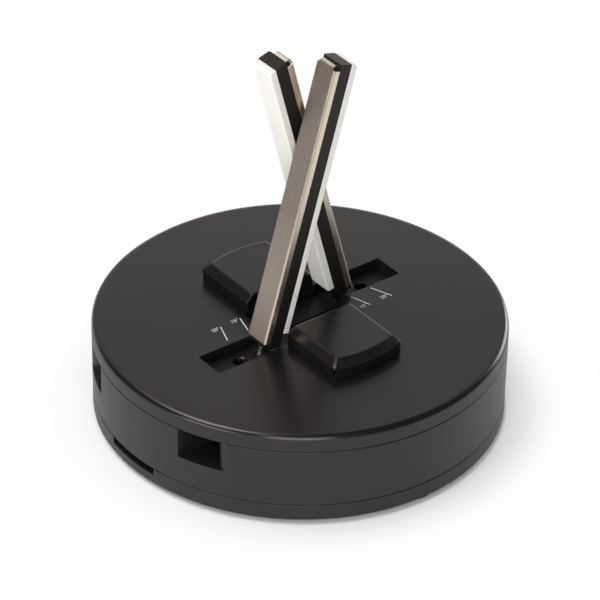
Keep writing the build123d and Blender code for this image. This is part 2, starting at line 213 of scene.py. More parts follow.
class SharpenerColours(bpy.types.PropertyGroup):
    """Colours of the pieces and of the stage."""

    moulding: colour("Moulding", "Black of the base mouldings", "#161415")
    rod_plastic: colour("Rod plastic", "Black of the rod cores", "#12100f")
    grit: colour("Grit", "Nickel between the diamond grains", "#877c73")
    grain: colour("Grain", "Lit faces of the diamond grains", "#c9bfb2")
    steel: colour("Steel", "Bare steel of the plates' folded edges", "#dfd3c1")
    ceramic: colour("Ceramic", "White of the ceramic plates", "#f0ede6")
    pin: colour("Pin", "Steel of the foot pins", "#d4d2ce")
    zinc: colour("Zinc", "Plated steel of the screws", "#a9abad")
    rubber: colour("Rubber", "Black of the feet", "#1a1a1b")
    ink: colour("Ink", "White of the printed marks", "#e6e4e1")
    floor: colour("Floor", "Pale floor of the studio", "#fdfdfd")


# Modelling helpers


def begin():
    """Leave edit mode and deselect everything, so that the next primitive stands alone."""
    if bpy.context.object and bpy.context.object.mode != "OBJECT":
        bpy.ops.object.mode_set(mode="OBJECT")
    bpy.ops.object.select_all(action="DESELECT")


def activate(piece):
    """Make a piece the only selected and active object, in object mode."""
    begin()
    piece.select_set(True)
    bpy.context.view_layer.objects.active = piece


def settle(piece):
    """Put a piece's place, turn and scale into its mesh."""
    activate(piece)
    bpy.ops.object.transform_apply(location=True, rotation=True, scale=True)


def clear_picks(piece, kind):
    """Deselect all of a piece's mesh and set whether its edges or its faces are picked next."""
    activate(piece)
    bpy.ops.object.mode_set(mode="EDIT")
    bpy.ops.mesh.select_mode(type=kind)
    bpy.ops.mesh.select_all(action="DESELECT")
    bpy.ops.object.mode_set(mode="OBJECT")


def pick_edges(piece, test):
    """Enter edit mode with the edges selected whose two ends pass a test together."""
    clear_picks(piece, "EDGE")
    points = piece.data.vertices
    for edge in piece.data.edges:
        first, second = edge.vertices
        edge.select = test(points[first].co, points[second].co)
    bpy.ops.object.mode_set(mode="EDIT")


def pick_faces(piece, test):
    """Enter edit mode with the faces selected whose normal passes a test."""
    clear_picks(piece, "FACE")
    for face in piece.data.polygons:
        face.select = test(face.normal)
    bpy.ops.object.mode_set(mode="EDIT")


def bevel_edges(piece, test, offset, segments):
    """Bevel the edges that pass a test, or round them with several segments."""
    pick_edges(piece, test)
    bpy.ops.mesh.bevel(offset=offset, offset_type="OFFSET", segments=segments, affect="EDGES")
    bpy.ops.object.mode_set(mode="OBJECT")


def apply_modifier(piece, kind, **settings):
    """Add a modifier with the given settings and apply it."""
    activate(piece)
    bpy.ops.object.modifier_add(type=kind)
    modifier = piece.modifiers[-1]
    for key, value in settings.items():
        setattr(modifier, key, value)
    bpy.ops.object.modifier_apply(modifier=modifier.name)


def soften(piece, width, angle=35, segments=2):
    """Round the sharp edges of a piece, so that they catch the light, and keep its flats flat."""
    apply_modifier(
        piece,
        "BEVEL",
        width=width,
        segments=segments,
        limit_method="ANGLE",
        angle_limit=math.radians(angle),
        use_clamp_overlap=False,
        loop_slide=True,
    )
    bpy.ops.object.shade_smooth_by_angle(angle=math.radians(angle))
    apply_modifier(piece, "WEIGHTED_NORMAL", keep_sharp=True, weight=100)


def copy_node(node, name):
    """Return a copy of a CAD node's mesh, merged and free of needless edges on its flats."""
    begin()
    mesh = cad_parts[node].data.copy()
    mesh.materials.clear()
    piece = bpy.data.objects.new(name, mesh)
    bpy.context.collection.objects.link(piece)
    activate(piece)
    bpy.ops.mesh.customdata_custom_splitnormals_clear()
    bpy.ops.object.mode_set(mode="EDIT")
    bpy.ops.mesh.select_all(action="SELECT")
    bpy.ops.mesh.remove_doubles(threshold=MERGE)
    bpy.ops.mesh.dissolve_limited(angle_limit=math.radians(0.3))
    bpy.ops.mesh.normals_make_consistent(inside=False)
    bpy.ops.object.mode_set(mode="OBJECT")
    return piece


def add_post(x, y, bottom, top, radius, sides=64):
    """Add an upright cylinder between two levels and return it."""
    begin()
    bpy.ops.mesh.primitive_cylinder_add(
        vertices=sides,
        radius=radius,
        depth=top - bottom,
        location=(x, y, (bottom + top) / 2),
    )
    settle(bpy.context.object)
    return bpy.context.object


def add_block(low, high):
    """Add a box between two corners and return it."""
    begin()
    low = Vector(low)
    high = Vector(high)
    bpy.ops.mesh.primitive_cube_add(size=1, location=(low + high) / 2, scale=high - low)
    settle(bpy.context.object)
    return bpy.context.object


def combine(piece, tool, operation):
    """Apply a boolean between a piece and a tool, which is used up."""
    apply_modifier(piece, "BOOLEAN", operation=operation, object=tool, solver="EXACT")
    bpy.data.objects.remove(tool)


def join(pieces, name):
    """Join several pieces into one object of that name."""
    activate(pieces[0])
    for piece in pieces[1:]:
        piece.select_set(True)
    bpy.ops.object.join()
    pieces[0].name = name
    return pieces[0]


def hand_over(piece, body, slot, *nodes):
    """Tie a finished piece to its body and hide the nodes that it stands for. The slot is not used."""
    if nodes:
        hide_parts(*nodes)
    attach(piece, body)


def paint(piece, name):
    """Give a whole piece the material of that name."""
    piece.data.materials.clear()
    piece.data.materials.append(bpy.data.materials[name])


def paint_faces(piece, name, test):
    """Give the faces whose normal passes a test a further material."""
    piece.data.materials.append(bpy.data.materials[name])
    pick_faces(piece, test)
    piece.active_material_index = len(piece.data.materials) - 1
    bpy.ops.object.material_slot_assign()
    bpy.ops.object.mode_set(mode="OBJECT")


# Materials


def feed(tree, target, value):
    """Link an input of a shader node to another node, or set it to a plain value."""
    if isinstance(value, bpy.types.NodeSocket):
        tree.links.new(value, target)
    else:
        target.default_value = value


def add_node(tree, kind, inputs=(), **settings):
    """Add a shader node with its settings, and feed its inputs."""
    node = tree.nodes.new(kind)
    for key, value in settings.items():
        setattr(node, key, value)
    for key, value in dict(inputs).items():
        feed(tree, node.inputs[key], value)
    return node


def work_out(tree, operation, first, second):
    """Return the result of a maths operation on two values."""
    return add_node(tree, "ShaderNodeMath", {0: first, 1: second}, operation=operation).outputs["Value"]


def start_material(name):
    """Make a material, and return its node tree, its surface shader and the object's own coordinates."""
    material = bpy.data.materials.new(name)
    material.use_nodes = True
    tree = material.node_tree
    tree.nodes.clear()
    surface = add_node(tree, "ShaderNodeBsdfPrincipled")
    output = add_node(tree, "ShaderNodeOutputMaterial")
    tree.links.new(surface.outputs["BSDF"], output.inputs["Surface"])
    place = add_node(tree, "ShaderNodeTexCoord").outputs["Object"]
    return tree, surface, place


def noise(tree, place, grain, detail=3.0):
    """Return a noise value whose features are about one grain long, in metres."""
    inputs = {"Vector": place, "Scale": 1 / grain, "Detail": detail}
    return add_node(tree, "ShaderNodeTexNoise", inputs).outputs["Fac"]


def spread(tree, value, low, high, start=0.3, end=0.7):
    """Return a value stretched from the range start to end to the range low to high."""
    inputs = {"Value": value, "From Min": start, "From Max": end, "To Min": low, "To Max": high}
    return add_node(tree, "ShaderNodeMapRange", inputs).outputs["Result"]


def blend(tree, factor, first, second):
    """Return a mix of two colours."""
    node = add_node(tree, "ShaderNodeMix", data_type="RGBA")
    for socket, value in (("Factor_Float", factor), ("A_Color", first), ("B_Color", second)):
        feed(tree, next(s for s in node.inputs if s.identifier == socket), value)
    return next(s for s in node.outputs if s.identifier == "Result_Color")


def shade(tint, factor):
    """Return a colour made darker or lighter, with full alpha."""
    return (*(min(1, channel * factor) for channel in tint), 1)


def bump(tree, height, depth, strength):
    """Return a normal that is disturbed by a height value, whose full range is depth metres."""
    inputs = {"Height": height, "Distance": depth, "Strength": strength}
    return add_node(tree, "ShaderNodeBump", inputs).outputs["Normal"]


def connect(tree, surface, **sockets):
    """Feed inputs of a surface shader, named with underscores for spaces."""
    for key, value in sockets.items():
        feed(tree, surface.inputs[key.replace("_", " ")], value)


def moulded_plastic(name, tint, roughness, grain, sheen="#ffffff"):
    """Make an injection-moulded plastic with a fine spark-eroded grain and a tinted sheen."""
    tree, surface, place = start_material(name)
    cloud = noise(tree, place, 0.012)
    fine = noise(tree, place, grain, 2.0)
    connect(
        tree,
        surface,
        Base_Color=blend(tree, cloud, shade(tint, 0.8), shade(tint, 1.2)),
        Roughness=spread(tree, fine, roughness - 0.02, roughness + 0.02),
        IOR=1.5,
        Specular_Tint=(*linear(sheen), 1),
        Normal=bump(tree, fine, 0.00001, 0.1),
    )


def diamond_grit(name, nickel, grain_tint, grain, sparkle):
    """Make nickel plate full of diamond grit: fine grains in clusters with painted sparkle, faint streaks
    of wear, and a painted reflection that lightens its lower part.
    """
    tree, surface, place = start_material(name)
    cells = add_node(tree, "ShaderNodeTexVoronoi", {"Vector": place, "Scale": 1 / grain})
    chance = add_node(tree, "ShaderNodeSeparateColor", {"Color": cells.outputs["Color"]})
    cluster = noise(tree, place, 2.5 * grain)
    along = add_node(tree, "ShaderNodeMapping", {"Vector": place, "Scale": (1, 1, STREAK_SCALE)})
    streak = noise(tree, along.outputs["Vector"], STREAK_WIDTH)
    wear_and_reflection = blend(tree, spread(tree, streak, 0, 1), shade(nickel, 0.86), shade(nickel, 1.02))
    # A painted reflection lightens the plates' lower third and gives its grains more sparkle, fading out
    # above it
    height = add_node(tree, "ShaderNodeSeparateXYZ", {"Vector": place}).outputs["Z"]
    reflection_fade = spread(tree, height, 0, 1, GRIT_REFLECTION_FULL, GRIT_REFLECTION_GONE)
    wear_and_reflection = blend(tree, reflection_fade, shade(nickel, 1.75), wear_and_reflection)
    painted_sparkle = spread(tree, height, sparkle, 0.45 * sparkle, GRIT_REFLECTION_FULL, GRIT_REFLECTION_GONE)
    lit = spread(tree, chance.outputs["Red"], 0, painted_sparkle, 0.5, 1)
    rich = blend(tree, spread(tree, cluster, 0, 1), wear_and_reflection, shade(grain_tint, 1))
    connect(
        tree,
        surface,
        Base_Color=blend(tree, lit, wear_and_reflection, rich),
        Metallic=0.75,
        Roughness=spread(tree, chance.outputs["Green"], 0.48, 0.36, 0.6, 1),
        Normal=bump(tree, cells.outputs["Distance"], 0.00005, 0.25),
    )


def rolled_steel(name, tint, roughness, grain):
    """Make plain steel with fine uneven wear."""
    tree, surface, place = start_material(name)
    fine = noise(tree, place, grain, 4.0)
    connect(
        tree,
        surface,
        Base_Color=blend(tree, fine, shade(tint, 0.82), shade(tint, 1.1)),
        Metallic=1.0,
        Roughness=spread(tree, fine, roughness - 0.07, roughness + 0.07),
        Normal=bump(tree, fine, 0.00001, 0.2),
    )


def unglazed_ceramic(name, tint):
    """Make dense alumina with a fine-ground face."""
    tree, surface, place = start_material(name)
    cloud = noise(tree, place, 0.004)
    fine = noise(tree, place, 0.0002)
    connect(
        tree,
        surface,
        Base_Color=blend(tree, cloud, shade(tint, 0.97), shade(tint, 1.02)),
        Roughness=spread(tree, fine, 0.42, 0.55),
        IOR=1.6,
        Normal=bump(tree, fine, 0.000006, 0.2),
    )


def make_materials(colours):
    """Make the materials of all pieces."""
    # ABS with a fine grain, semi-gloss
    moulded_plastic("black_abs_fine_grain", colours.moulding, 0.25, 0.0004, sheen="#ffecea")
    # The same ABS on the cover's rounded rim, a little smoother
    moulded_plastic("black_abs_smooth_rim", colours.moulding, 0.2, 0.0004, sheen="#fff7f6")
    # The same ABS on the drafted side walls, with a coarser grain
    moulded_plastic("black_abs_wall_grain", colours.moulding, 0.45, 0.0006, sheen="#fff5f4")
    # The same ABS as it leaves an unpolished mould, inside the slots, with painted shade: half as bright
    # and with a dimmed sheen
    moulded_plastic("black_abs_matt_painted_shade", shade(colours.moulding, 0.5)[:3], 0.42, 0.0006, sheen="#968a86")
    # Glass-filled nylon, satin
    moulded_plastic("black_nylon_satin", colours.rod_plastic, 0.5, 0.0006, sheen="#d8c8c0")
    # Steel plated with nickel that holds diamond grit
    diamond_grit("diamond_grit_nickel", colours.grit, colours.grain, 0.00022, 0.8)
    # The same grit along the bends, rubbed bright by knives and painted brighter still as a highlight
    diamond_grit("diamond_grit_bend_wear_and_highlight", shade(colours.steel, 0.6)[:3], colours.steel, 0.0004, 1.0)
    # The folded edges of the same plates, with little grit
    rolled_steel("nickel_plated_steel_edge", colours.steel, 0.32, 0.0003)
    # White alumina, fine-ground
    unglazed_ceramic("white_alumina_ground", colours.ceramic)
    # Drawn stainless steel, bright
    rolled_steel("stainless_steel_drawn", colours.pin, 0.22, 0.0004)
    # Zinc-plated steel
    rolled_steel("zinc_plated_steel", colours.zinc, 0.35, 0.0005)
    # Rubber, matt
    moulded_plastic("black_rubber_matt", colours.rubber, 0.75, 0.0005)
    # Pad-printed ink, matt
    moulded_plastic("white_pad_print_ink", colours.ink, 0.55, 0.0003)


# Operators, one for each piece or group of like pieces


class SHARPENER_OT_materials(bpy.types.Operator):
    """Make the materials that the pieces share"""

    bl_idname = "sharpener.materials"
    bl_label = "Make the materials"

    def execute(self, context):
        make_materials(context.scene.sharpener_colours)
        return {"FINISHED"}


class SHARPENER_OT_cover(bpy.types.Operator):
    """Model the top cover: a round deck with a skirt, two slots, two seats and an open middle"""

    bl_idname = "sharpener.cover"
    bl_label = "Model the top cover"

    def execute(self, context):
        sizes = context.scene.sharpener_sizes
        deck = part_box("top_cover")[1].z
        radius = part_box("top_cover")[1].x
        seam = deck - sizes.skirt
        cover = add_post(0, 0, seam, deck, radius, sides=256)
        cover.name = "top_cover_moulding"
        bevel_edges(cover, lambda a, b: min(a.z, b.z) > deck - MERGE, sizes.rim_round, 8)
        # A narrow ring inside the rim keeps the shading of the deck flat
        pick_faces(cover, lambda normal: normal.z > LEVEL)
        bpy.ops.mesh.inset(thickness=sizes.rim_round / 4)
        bevel_edges(cover, lambda a, b: max(a.z, b.z) < seam + MERGE, sizes.seam_bevel, 2)
        pick_faces(cover, lambda normal: normal.z < -LEVEL)
        bpy.ops.mesh.inset(thickness=sizes.wall)
        hollow = {"value": (0, 0, sizes.skirt - sizes.wall)}
        bpy.ops.mesh.extrude_region_move(TRANSFORM_OT_translate=hollow)

        for side in (-1, 1):
            combine(cover, add_slot(side, seam, deck + sizes.wall), "DIFFERENCE")
            seat = add_stop_block(side, deck - sizes.stop_seat, deck + sizes.wall, sizes.stop_gap)
            combine(cover, seat, "DIFFERENCE")
        combine(cover, add_well(seam, deck + sizes.wall), "DIFFERENCE")
        soften(cover, sizes.moulding_round)
        # Upright part of a normal from which a face leaves the wall, and then the rim
        rim = 0.3
        flat = 0.97
        paint(cover, "black_abs_fine_grain")
        paint_faces(cover, "black_abs_smooth_rim", lambda normal: rim <= normal.z < flat)
        paint_faces(cover, "black_abs_wall_grain", lambda normal: abs(normal.z) < rim)
        hand_over(cover, "base", "black_moulding", "top_cover")
        return {"FINISHED"}


def add_slot(side, bottom, top):
    """Add the block of the left or right slot's opening."""
    sizes = bpy.context.scene.sharpener_sizes
    ends = sorted((side * sizes.slot_inner, side * sizes.slot_outer))
    sides = sorted((side * sizes.slot_split, side * sizes.slot_edge))
    return add_block((ends[0], sides[0], bottom), (ends[1], sides[1], top))


def add_well(bottom, top, growth=0):
    """Add the block of the sunken middle between the blade stops."""
    sizes = bpy.context.scene.sharpener_sizes
    corner = Vector((sizes.well_half + growth, sizes.stop_inner + growth, 0))
    return add_block(UP * bottom - corner, UP * top + corner)


def add_stop_block(side, bottom, top, growth=0, bevel=0):
    """Add the block of one blade stop: a box, bevelled at its ends, inside a bevelled round."""
    sizes = bpy.context.scene.sharpener_sizes
    half = sizes.stop_half + growth
    reach = sizes.stop_reach + growth
    sides = sorted((side * (sizes.stop_inner - growth), side * 2 * reach))
    block = add_block((-half, sides[0], bottom), (half, sides[1], top))
    # The round stands proud of the box at both ends, so that no faces coincide
    proud = sizes.wall / 2
    round_end = add_post(0, 0, bottom - proud, top + proud, reach, sides=256)
    if bevel:
        bevel_edges(
            block,
            lambda a, b: min(a.z, b.z) > top - MERGE and abs(a.x + b.x) > 2 * half - MERGE,
            bevel,
            1,
        )
        bevel_edges(round_end, lambda a, b: min(a.z, b.z) > top + proud - MERGE, bevel + proud, 1)
    combine(block, round_end, "INTERSECT")
    return block


class SHARPENER_OT_stops(bpy.types.Operator):
    """Model the two blade stops with bevels on their three outer sides"""

    bl_idname = "sharpener.stops"
    bl_label = "Model the blade stops"

    def execute(self, context):
        sizes = context.scene.sharpener_sizes
        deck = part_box("top_cover")[1].z
        top = deck + sizes.stop_height
        wide = sizes.stop_half - MERGE
        for node, side in (("rear_blade_stop", 1), ("front_blade_stop", -1)):
            stop = add_stop_block(side, deck - sizes.stop_seat, top, bevel=sizes.stop_bevel)
            stop.name = f"{node}_block"
            bevel_edges(
                stop,
                lambda a, b: min(side * a.y, side * b.y) > sizes.stop_reach / 2
                and abs(a.z - b.z) > MERGE
                and (min(abs(a.x), abs(b.x)) > wide or abs(a.x - b.x) > abs(a.z - b.z) / 2),
                sizes.stop_corner,
                5,
            )
            bevel_edges(
                stop,
                lambda a, b: min(a.z, b.z) > top - MERGE
                and max(side * a.y, side * b.y) < sizes.stop_inner + MERGE,
                sizes.stop_lip,
                4,
            )
            soften(stop, sizes.stop_round, angle=25, segments=3)
            paint(stop, "black_abs_fine_grain")
            hand_over(stop, "base", "black_moulding", node)
        return {"FINISHED"}


def sink_middle(socket, side):
    """Clear a socket's inner end and give it its half of the floor between the stops."""
    sizes = bpy.context.scene.sharpener_sizes
    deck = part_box("top_cover")[1].z
    floor = deck - sizes.slot_depth
    base = floor - sizes.socket_floor
    half = add_well(base, deck - sizes.wall, sizes.socket_rim)
    combine(half, add_well(floor, deck), "DIFFERENCE")
    combine(half, add_slot(side, floor, deck), "DIFFERENCE")
    combine(socket, add_well(floor, deck), "DIFFERENCE")
    # Both stop at the split, beyond which the other socket's half lies
    wide = sizes.well_half + 2 * sizes.socket_rim
    sides = sorted((side * sizes.well_split / 2, -side * 2 * sizes.stop_inner))
    for piece in (half, socket):
        beyond = add_block((-wide, sides[0], base - sizes.socket_rim), (wide, sides[1], deck))
        combine(piece, beyond, "DIFFERENCE")
    combine(socket, half, "UNION")


def countersink_holes(socket, side):
    """Bevel the mouths of a socket's two holes."""
    sizes = bpy.context.scene.sharpener_sizes
    depth = sizes.slot_depth
    lean = sizes.rod_lean
    pin_offset = (sizes.ceramic - sizes.sheet) / 2
    near = sizes.rod_standoff + pin_offset / math.cos(lean) + depth * math.tan(lean)
    for x in (near, near + sizes.hole_pitch):
        begin()
        bpy.ops.mesh.primitive_cone_add(
            vertices=64,
            radius1=sizes.pin_radius,
            radius2=sizes.pin_radius + 2 * sizes.countersink,
            depth=2 * sizes.countersink,
            location=(side * x, side * sizes.rod_side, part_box("top_cover")[1].z - depth),
        )
        settle(bpy.context.object)
        combine(socket, bpy.context.object, "DIFFERENCE")


class SHARPENER_OT_lower_shells(bpy.types.Operator):
    """Soften the wall and the base plate, and give the sockets a sunken middle and bevelled holes"""

    bl_idname = "sharpener.lower_shells"
    bl_label = "Dress the lower shells and sockets"

    def execute(self, context):
        sizes = context.scene.sharpener_sizes
        for node in ("body_shell", "base_plate"):
            shell = copy_node(node, f"{node}_moulding")
            soften(shell, sizes.moulding_round)
            paint(shell, "black_abs_wall_grain")
            hand_over(shell, "base", "black_moulding", node)

        # Upright part of a normal below which a socket's face is one of its walls
        wall = 0.8
        for node, side in (("left_rod_socket", -1), ("right_rod_socket", 1)):
            socket = copy_node(node, f"{node}_moulding")
            sink_middle(socket, side)
            countersink_holes(socket, side)
            soften(socket, sizes.moulding_round)
            # Painted shade: the sockets' floors and rims get the darkened ABS, their walls the glossier
            # one
            paint(socket, "black_abs_matt_painted_shade")
            paint_faces(socket, "black_abs_fine_grain", lambda normal: abs(normal.z) < wall)
            hand_over(socket, "base", "black_moulding", node)
        return {"FINISHED"}


class SHARPENER_OT_feet(bpy.types.Operator):
    """Model the three rubber feet, each with a shallow dimple"""

    bl_idname = "sharpener.feet"
    bl_label = "Model the rubber feet"

    def execute(self, context):
        sizes = context.scene.sharpener_sizes
        for node in ("front_foot", "right_foot", "left_foot"):
            low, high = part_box(node)
            middle = (low + high) / 2
            radius = (high.x - low.x) / 2
            bevel = radius / 12
            rim = radius / 3
            dimple = radius / 15
            foot = add_post(middle.x, middle.y, low.z, high.z, radius)
            foot.name = f"{node}_pad"
            bevel_edges(foot, lambda a, b: max(a.z, b.z) < low.z + MERGE, bevel, 4)
            pick_faces(foot, lambda normal: normal.z < -LEVEL)
            bpy.ops.mesh.inset(thickness=rim)
            bpy.ops.mesh.extrude_region_move(TRANSFORM_OT_translate={"value": (0, 0, dimple)})
            bpy.ops.object.mode_set(mode="OBJECT")
            soften(foot, sizes.fine_round)
            paint(foot, "black_rubber_matt")
            hand_over(foot, "base", "foot_rubber", node)
        return {"FINISHED"}


def stand_rod(piece, end):
    """Lean a piece that was modelled upright, and put it in the slot of the front or rear rod."""
    sizes = bpy.context.scene.sharpener_sizes
    piece.rotation_euler = (0, sizes.rod_lean, 0)
    piece.location = (-sizes.rod_standoff, -sizes.rod_side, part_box("top_cover")[1].z)
    settle(piece)
    if end == "rear":
        piece.rotation_euler = (0, 0, math.pi)
        settle(piece)


class SHARPENER_OT_cores(bpy.types.Operator):
    """Model the plastic core of each rod, stepped for its steel plate"""

    bl_idname = "sharpener.cores"
    bl_label = "Model the rod cores"

    def execute(self, context):
        sizes = context.scene.sharpener_sizes
        half = sizes.rod_width / 2
        face = -sizes.rod_depth / 2
        outer = face + sizes.sheet
        inner = sizes.rod_depth / 2 - sizes.ceramic
        beyond = sizes.rod_width
        for end in ("front", "rear"):
            core = add_block((outer, -half, -sizes.core_drop), (inner, half, sizes.rod_reach))
            core.name = f"{end}_rod_bar"
            for side in (-1, 1):
                sides = sorted((side * (half - sizes.sheet), side * beyond))
                low = (-beyond, sides[0], -beyond)
                high = (face + sizes.side_lip, sides[1], sizes.rod_reach + beyond)
                combine(core, add_block(low, high), "DIFFERENCE")
            shelf = sizes.rod_reach - sizes.core_crown - sizes.sheet
            low = (-beyond, -beyond, shelf)
            high = (face + sizes.top_lip, beyond, sizes.rod_reach + beyond)
            combine(core, add_block(low, high), "DIFFERENCE")
            soften(core, sizes.fine_round)
            stand_rod(core, end)
            paint(core, "black_nylon_satin")
            hand_over(core, f"{end}_rod", "rod_plastic", f"{end}_rod_core")
        return {"FINISHED"}


class SHARPENER_OT_diamond_plates(bpy.types.Operator):
    """Model the folded steel plates, with open top corners and a grit face"""

    bl_idname = "sharpener.diamond_plates"
    bl_label = "Model the diamond plates"

    def execute(self, context):
        sizes = context.scene.sharpener_sizes
        half = sizes.rod_width / 2
        face = -sizes.rod_depth / 2
        back = face + sizes.side_lip
        top = sizes.rod_reach - sizes.core_crown
        bottom = sizes.diamond_rise
        inside = half - sizes.sheet
        beyond = sizes.rod_width
        # Part of a normal along X from which a face lies on a bend, and then on a folded edge
        bend = -0.8
        edge = -0.2
        for end in ("front", "rear"):
            plate = add_block((face, -half, bottom), (back, half, top))
            plate.name = f"{end}_diamond_tray"
            bevel_edges(
                plate,
                lambda a, b: max(a.x, b.x) < face + MERGE and max(a.z, b.z) > bottom + MERGE,
                sizes.bend_round,
                5,
            )
            low = (face + sizes.sheet, -inside, -beyond)
            high = (back + beyond, inside, top - sizes.sheet)
            combine(plate, add_block(low, high), "DIFFERENCE")
            low = (face + sizes.top_lip, -beyond, top - sizes.relief)
            combine(plate, add_block(low, (back + beyond, beyond, top + beyond)), "DIFFERENCE")
            for side in (-1, 1):
                sides = sorted((side * (half - sizes.relief), side * beyond))
                low = (face + sizes.sheet, sides[0], top - sizes.relief)
                high = (back + beyond, sides[1], top + beyond)
                combine(plate, add_block(low, high), "DIFFERENCE")
                begin()
                bpy.ops.mesh.primitive_cylinder_add(
                    vertices=48,
                    radius=sizes.relief,
                    depth=4 * sizes.sheet,
                    location=(face, side * half, top),
                    rotation=(0, math.pi / 2, 0),
                )
                settle(bpy.context.object)
                combine(plate, bpy.context.object, "DIFFERENCE")
            soften(plate, sizes.fine_round)
            paint(plate, "diamond_grit_nickel")
            # The bends get the brighter grit: knife wear with a painted highlight
            paint_faces(plate, "diamond_grit_bend_wear_and_highlight", lambda normal: normal.x > bend)
            paint_faces(plate, "nickel_plated_steel_edge", lambda normal: normal.x > edge)
            stand_rod(plate, end)
            hand_over(plate, f"{end}_rod", "diamond_steel", f"{end}_diamond_plate")
        return {"FINISHED"}


class SHARPENER_OT_ceramic_plates(bpy.types.Operator):
    """Model the white ceramic plates with rounded face edges"""

    bl_idname = "sharpener.ceramic_plates"
    bl_label = "Model the ceramic plates"

    def execute(self, context):
        sizes = context.scene.sharpener_sizes
        half = sizes.rod_width / 2
        face = sizes.rod_depth / 2
        top = sizes.rod_reach - sizes.core_crown / 2
        for end in ("front", "rear"):
            low = (face - sizes.ceramic, -half, sizes.ceramic_rise)
            plate = add_block(low, (face, half, top))
            plate.name = f"{end}_ceramic_slab"
            bevel_edges(
                plate,
                lambda a, b: min(a.x, b.x) > face - MERGE and min(a.z, b.z) > top - MERGE,
                sizes.ceramic_top,
                8,
            )
            shoulder = top - sizes.ceramic_top - MERGE
            bevel_edges(
                plate,
                lambda a, b: min(a.x, b.x) > face - sizes.ceramic_top - MERGE
                and (a.y * b.y > 0 or max(a.z, b.z) < shoulder),
                sizes.ceramic_round,
                5,
            )
            soften(plate, sizes.fine_round)
            stand_rod(plate, end)
            paint(plate, "white_alumina_ground")
            hand_over(plate, f"{end}_rod", "white_ceramic", f"{end}_ceramic_plate")
        return {"FINISHED"}


class SHARPENER_OT_pins(bpy.types.Operator):
    """Model the steel pins under the rods"""

    bl_idname = "sharpener.pins"
    bl_label = "Model the foot pins"

    def execute(self, context):
        sizes = context.scene.sharpener_sizes
        offset = (sizes.sheet - sizes.ceramic) / 2
        tip = -sizes.pin_reach
        tip_bevel = sizes.pin_radius / 4
        for end in ("front", "rear"):
            pin = add_post(offset, 0, tip, sizes.pin_root, sizes.pin_radius)
            pin.name = f"{end}_steel_pin"
            bevel_edges(pin, lambda a, b: max(a.z, b.z) < tip + MERGE, tip_bevel, 3)
            soften(pin, sizes.fine_round)
            stand_rod(pin, end)
            paint(pin, "stainless_steel_drawn")
            hand_over(pin, f"{end}_rod", "pin_steel", f"{end}_foot_pin")
        return {"FINISHED"}


class SHARPENER_OT_marks(bpy.types.Operator):
    """Print the angle lines and numbers on the deck"""

    bl_idname = "sharpener.marks"
    bl_label = "Print the angle marks"

    def execute(self, context):
        sizes = context.scene.sharpener_sizes
        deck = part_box("top_cover")[1].z
        # Number, the two ends of its line, and the middle of the number, on the deck
        marks = (
            ("15", (-0.0178, 0.0100), (-0.0197, 0.0029), (-0.0201, 0.0098)),
            ("20", (-0.0260, 0.0098), (-0.0288, 0.0021), (-0.0284, 0.0093)),
            ("15", (0.0203, -0.0016), (0.0227, -0.0092), (0.0204, -0.0085)),
            ("20", (0.0290, -0.0012), (0.0319, -0.0091), (0.0294, -0.0081)),
        )
        half = sizes.mark_width / 2
        prints = []
        for number, start, end, middle in marks:
            start = Vector(start)
            end = Vector(end)
            line = end - start
            bar = add_block((0, -half, 0), (line.length, half, sizes.ink))
            bar.rotation_euler = (0, 0, math.atan2(line.y, line.x))
            bar.location = (start.x, start.y, deck)
            settle(bar)
            prints.append(bar)
            begin()
            bpy.ops.object.text_add(location=(*middle, deck + sizes.ink / 2))
            words = bpy.context.object
            words.data.body = f"{number}\u00b0"
            words.data.size = sizes.mark_height / DIGIT_SHARE
            words.data.extrude = sizes.ink / 2
            words.data.offset = -sizes.ink / 4
            words.data.align_x = "CENTER"
            words.data.align_y = "CENTER"
            bpy.ops.object.convert(target="MESH")
            settle(bpy.context.object)
            prints.append(bpy.context.object)
        printed = join(prints, "angle_marks")
        paint(printed, "white_pad_print_ink")
        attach(printed, "base")
        return {"FINISHED"}


class SHARPENER_OT_screws(bpy.types.Operator):
    """Cut cross recesses into the case screws, trim the socket screws and plate all screws"""

    bl_idname = "sharpener.screws"
    bl_label = "Dress the screws"

    def execute(self, context):
        sizes = context.scene.sharpener_sizes
        copy_node("case_screws", "case_screw")
        bpy.ops.object.mode_set(mode="EDIT")
        bpy.ops.mesh.select_all(action="SELECT")
        bpy.ops.mesh.separate(type="LOOSE")
        bpy.ops.object.mode_set(mode="OBJECT")
        screws = list(context.selected_objects)
        for screw in screws:
            points = [vertex.co for vertex in screw.data.vertices]
            foot = min(point.z for point in points)
            left = min(point.x for point in points)
            right = max(point.x for point in points)
            front = min(point.y for point in points)
            radius = (right - left) / 2
            middle = Vector((left + radius, front + radius, foot))
            for arms in ((RECESS_REACH, RECESS_WIDTH), (RECESS_WIDTH, RECESS_REACH)):
                reach = Vector((*arms, RECESS_DEPTH)) * radius
                combine(screw, add_block(middle - reach, middle + reach), "DIFFERENCE")
            soften(screw, sizes.fine_round)
        screw_set = join(screws, "case_screw_set")
        paint(screw_set, "zinc_plated_steel")
        hand_over(screw_set, "base", "screw_steel", "case_screws")
        paint(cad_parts["blade_stop_screws"], "zinc_plated_steel")
        # The inner socket screws end inside the sunken floor
        hidden = copy_node("socket_screws", "socket_screw_set")
        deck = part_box("top_cover")[1].z
        level = deck - sizes.slot_depth - sizes.socket_floor / 2
        combine(hidden, add_well(level, deck), "DIFFERENCE")
        soften(hidden, sizes.fine_round / 2)
        paint(hidden, "zinc_plated_steel")
        hand_over(hidden, "base", "screw_steel", "socket_screws")
        return {"FINISHED"}


class SHARPENER_OT_stage(bpy.types.Operator):
    """Set up the floor, the backdrop, the lights and the photo's camera"""

    bl_idname = "sharpener.stage"
    bl_label = "Set up the studio"

    def execute(self, context):
        add_paper(context.scene.sharpener_colours.floor)
        for light in LIGHTS:
            add_light(*light)
        light_world(context.scene)
        aim_camera(context.scene)
        context.scene.view_settings.view_transform = "Standard"
        return {"FINISHED"}


